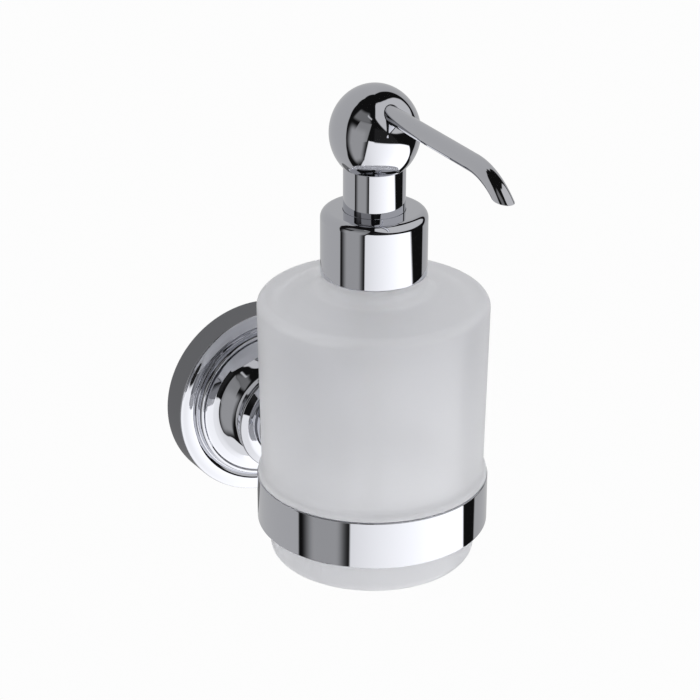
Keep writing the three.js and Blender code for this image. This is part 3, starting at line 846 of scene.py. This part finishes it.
# Soft panels of the studio that shiny surfaces reflect, as seen from the object. A corner is
# (azimuth, height) in degrees: azimuth from the camera's side, positive to its right, and height
# above the horizon; corners run anticlockwise round a convex shape. A light that changes across
# its panel is given at two azimuths. Later panels lie over earlier ones.
DARK = 0.008
PANELS = [
    # name, light, softness in degrees, corners
    ("broad white sweep", ((-25, 1.08), (65, 1.75)), 1.5,
     [(-200, -90), (196, -90), (97, -24), (60, -16), (-200, 20)]),
    ("shade beside it", DARK, 2.5,
     [(-200, -73), (-120, -71), (-90, -70), (-70, -66), (-48, -58), (-33, -49), (-25, -36), (-19, -20),
      (-15, -4), (-12, 60), (-200, 80)]),
    ("left grey wall", ((-180, 0.57), (180, 0.50)), 2.5,
     [(-200, -66), (-112, -65), (-94, -52), (-80, -33), (-75.5, -15), (-76, 3), (-82, 28), (-97, 52),
      (-122, 66), (-200, 70)]),
    ("grey board", 0.33, 2,
     [(-80, -58), (-60, -59), (-45, -54), (-34, -46), (-27, -33), (-20, -7), (-3, -3), (-3, 30), (-20, 33),
      (-68, 35), (-68, -15), (-71, -35)]),
    ("the board's bright middle", 0.45, 16, [(-68, -54), (-40, -50), (-27, -25), (-22, 14), (-66, 18)]),
    ("far shelf", ((-70, 0.22), (180, 0.16)), 8, [(-70, 33), (-12, 32), (-22, 54), (-66, 54)]),
    ("small lamp", ((-27, 0.70), (180, 0.60)), 3, [(-27, 47), (-11, 40), (-10, 43), (-27, 51)]),
    ("dark front", 0.022, 5, [(-2, -9), (40, -14), (60, -16), (60, 10), (30, 16), (0, 46)]),
    ("round soft box", 0.74, 3.5,
     [(1, 45), (14, 29), (30, 13), (50, 5), (85, 0), (118, 3), (130, 14), (134, 30), (130, 48), (119, 62),
      (98, 74), (60, 82), (12, 82), (2, 76)]),
    ("right grey wall", ((123, 0.50), (180, 0.57)), 3,
     [(123, -30), (128, -37), (200, -37), (200, 76), (172, 64), (158, 50), (147, 32), (139, 14), (128, -8)]),
]
TENT = {"light": 1.21, "right": 0.13, "up": -0.01}     # the even light that falls on matt surfaces
WHITE = 0.98                                           # the background and floor that the camera sees


def math_node(tree, operation, a, b=0.0):
    node = tree.nodes.new("ShaderNodeMath")
    node.operation = operation
    for socket, value in zip(node.inputs, (a, b)):
        if isinstance(value, float):
            socket.default_value = value
        else:
            tree.links.new(value, socket)
    return node.outputs["Value"]


def dot(tree, vector, weights):
    node = tree.nodes.new("ShaderNodeVectorMath")
    node.operation = "DOT_PRODUCT"
    tree.links.new(vector, node.inputs[0])
    node.inputs[1].default_value = weights
    return node.outputs["Value"]


def stepped(tree, value, low, high, start, end, kind="LINEAR"):
    """start at low, end at high, and a ramp between."""
    node = tree.nodes.new("ShaderNodeMapRange")
    node.interpolation_type = kind
    for key, number in (("From Min", low), ("From Max", high), ("To Min", start), ("To Max", end)):
        node.inputs[key].default_value = number
    tree.links.new(value, node.inputs["Value"])
    return node.outputs["Result"]


def inside(tree, where, corners, soft):
    """1 inside the shape, 0 outside, with soft edges; where is (azimuth, height, 1)."""
    mask = None
    for (a0, h0), (a1, h1) in zip(corners, corners[1:] + corners[:1]):
        length = math.hypot(a1 - a0, h1 - h0)
        across = ((h0 - h1) / length, (a1 - a0) / length)
        depth = dot(tree, where, (*across, -a0 * across[0] - h0 * across[1]))
        side = stepped(tree, depth, -soft / 2, soft / 2, 0.0, 1.0, "SMOOTHSTEP")
        mask = side if mask is None else math_node(tree, "MULTIPLY", mask, side)
    return mask


def studio():
    """Shiny surfaces reflect the panels, matt ones get an even light, and the camera sees white."""
    world = bpy.data.worlds.new("studio")
    bpy.context.scene.world = world
    world.use_nodes = True
    tree = world.node_tree
    nodes, links = tree.nodes, tree.links
    place = nodes.new("ShaderNodeTexCoord")
    turn = nodes.new("ShaderNodeVectorRotate")
    turn.rotation_type = "Z_AXIS"
    turn.inputs["Angle"].default_value = math.radians(-VIEW["azimuth"])
    links.new(place.outputs["Generated"], turn.inputs["Vector"])
    direction = turn.outputs["Vector"]
    split = nodes.new("ShaderNodeSeparateXYZ")
    links.new(direction, split.inputs["Vector"])
    degrees = 180 / math.pi
    front = math_node(tree, "MULTIPLY", split.outputs["Y"], -1.0)
    azimuth = math_node(tree, "MULTIPLY", math_node(tree, "ARCTAN2", split.outputs["X"], front), degrees)
    height = math_node(tree, "MULTIPLY", math_node(tree, "ARCSINE", split.outputs["Z"]), degrees)
    where = nodes.new("ShaderNodeCombineXYZ")
    links.new(azimuth, where.inputs["X"])
    links.new(height, where.inputs["Y"])
    where.inputs["Z"].default_value = 1.0
    light = DARK
    for _, level, soft, corners in PANELS:
        if isinstance(level, tuple):
            (low, start), (high, end) = level
            level = stepped(tree, azimuth, low, high, start, end)
        light = mixed(tree, inside(tree, where.outputs["Vector"], corners, soft), light, level)
    tent = math_node(tree, "ADD", dot(tree, direction, (TENT["right"], 0, TENT["up"])), TENT["light"])
    seen = nodes.new("ShaderNodeLightPath")
    shown = mixed(tree, seen.outputs["Is Glossy Ray"], tent, light)
    shown = mixed(tree, seen.outputs["Is Camera Ray"], shown, WHITE)
    links.new(shown, nodes["Background"].inputs["Color"])


aim_camera()
floor()
card()
studio()
bpy.context.scene.view_settings.view_transform = "Standard"
